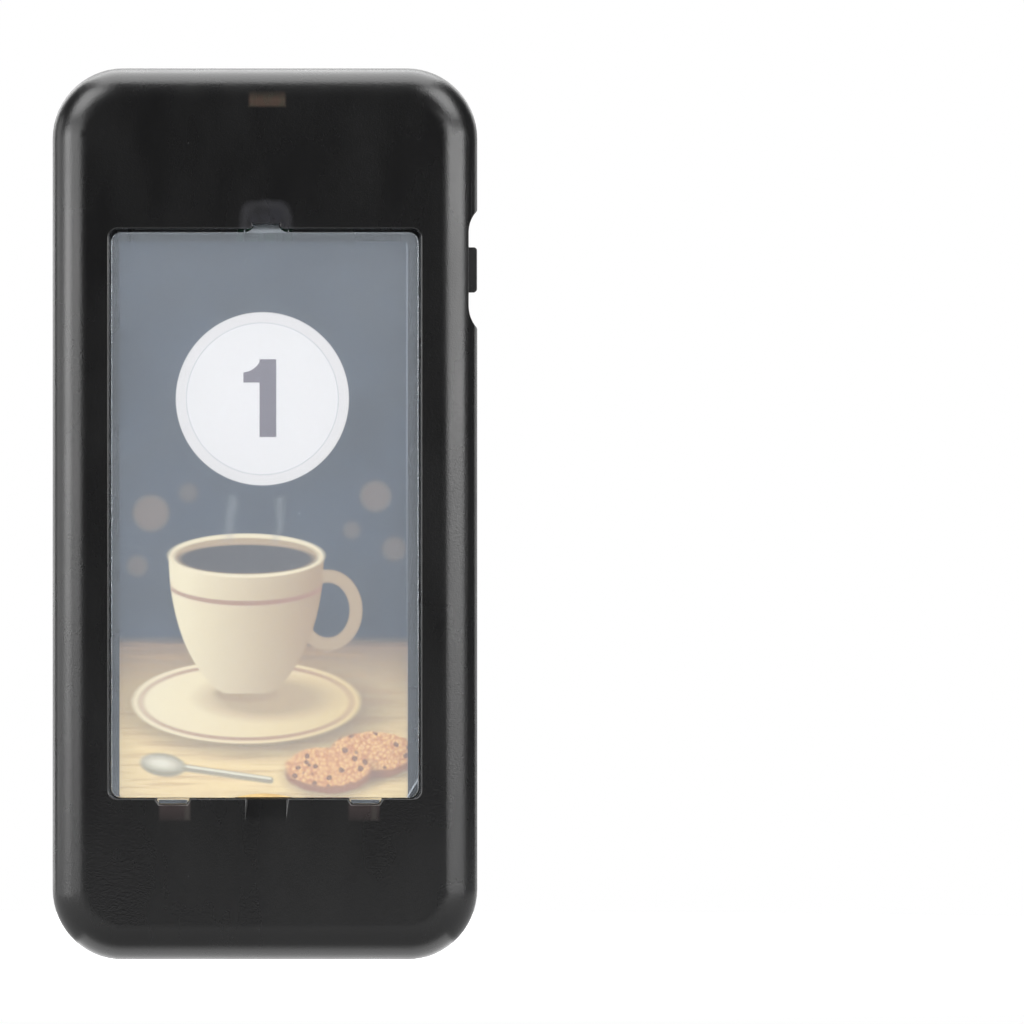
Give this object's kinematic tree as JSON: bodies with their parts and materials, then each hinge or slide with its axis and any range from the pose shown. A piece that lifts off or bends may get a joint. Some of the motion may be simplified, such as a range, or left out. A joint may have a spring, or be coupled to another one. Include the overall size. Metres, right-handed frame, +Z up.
{
  "type": "pager",
  "caption": "Hand-held rechargeable guest pager with a clear cover that swings open over an insert card, a side key, a lanyard eye and charging contacts.",
  "frame": {"origin": "centre of the bottom end, where the pager stands", "axes": "+Z up the length towards the lanyard eye, the window faces -Y, the charging contacts face +Y, the side key is on +X"},
  "size_m": [0.05, 0.0144, 0.105],
  "materials": {
    "smoked_plastic": "satin, faintly translucent smoked black",
    "black_plastic": "fine spark-eroded matt texture",
    "clear_cover": "glossy, clear with a slight haze",
    "printed_card": "printed, semi-matt",
    "key_plastic": "fine matt",
    "black_steel": "black oxide",
    "nickel": "bare nickel, faintly brushed",
    "circuit_board": "green solder mask",
    "white_plastic": "moulded",
    "phosphor": "clear yellow resin",
    "chip_resin": "moulded resin with marked corner",
    "tinplate": "tinned",
    "ferrite": "dull grey",
    "chip_ceramic": "dull with tinned ends",
    "copper_wire": "enamelled",
    "battery_foil": "pressed foil",
    "foam_tape": "foam",
    "lead_red": "soft insulation",
    "lead_black": "soft insulation",
    "brass": "turned",
    "magnet": "sintered",
    "weight_metal": "sintered",
    "boot_rubber": "moulded"
  },
  "bodies": {
    "case": {"front_shell": "smoked_plastic", "back_shell": "black_plastic", "case_screws": "black_steel", "insert_card": "printed_card", "charge_contact_left": "nickel", "charge_contact_right": "nickel", "circuit_board": "circuit_board", "led_housings": "white_plastic", "led_lenses": "phosphor", "microcontroller": "chip_resin", "radio_shield": "tinplate", "crystal_can": "tinplate", "charge_controller": "chip_resin", "power_inductor": "ferrite", "chip_capacitors": "chip_ceramic", "chip_resistors": "chip_resin", "antenna_coil": "copper_wire", "buzzer_case": "chip_resin", "buzzer_diaphragm": "tinplate", "battery_cell": "battery_foil", "battery_foam": "foam_tape", "battery_board": "circuit_board", "battery_socket": "white_plastic", "battery_plug": "white_plastic", "battery_lead_red": "lead_red", "battery_lead_black": "lead_black", "motor_can": "tinplate", "motor_end_cap": "chip_resin", "motor_bush": "brass", "motor_magnet": "magnet", "motor_boot": "boot_rubber", "motor_lead_red": "lead_red", "motor_lead_black": "lead_black", "switch_body": "chip_resin", "switch_plate": "tinplate"},
    "cover": {"window_cover": "clear_cover"},
    "key": {"side_key": "key_plastic"},
    "switch_stem": {"switch_stem": "white_plastic"},
    "rotor": {"motor_rotor": "copper_wire", "motor_shaft": "tinplate", "motor_weight": "weight_metal"}
  },
  "joints": [
    {"name": "cover_hinge", "type": "hinge", "parent": "case", "child": "cover", "pos_m": [0, -0.0066, 0.08512], "axis": [-1, 0, 0], "range_deg": [0, 70]},
    {"name": "key_slide", "type": "slide", "parent": "case", "child": "key", "axis": [-1, 0, 0], "range_m": [0, 0.00035], "stiffness_N_per_m": 400},
    {"name": "switch_slide", "type": "slide", "parent": "case", "child": "switch_stem", "axis": [-1, 0, 0], "range_m": [0, 0.00035]},
    {"name": "motor_spin", "type": "hinge", "parent": "case", "child": "rotor", "pos_m": [0.005, 0.0019, 0.0805], "axis": [1, 0, 0], "continuous": true}
  ],
  "couplings": [
    {"joint": "switch_slide", "follows": "key_slide", "ratio": 1}
  ]
}
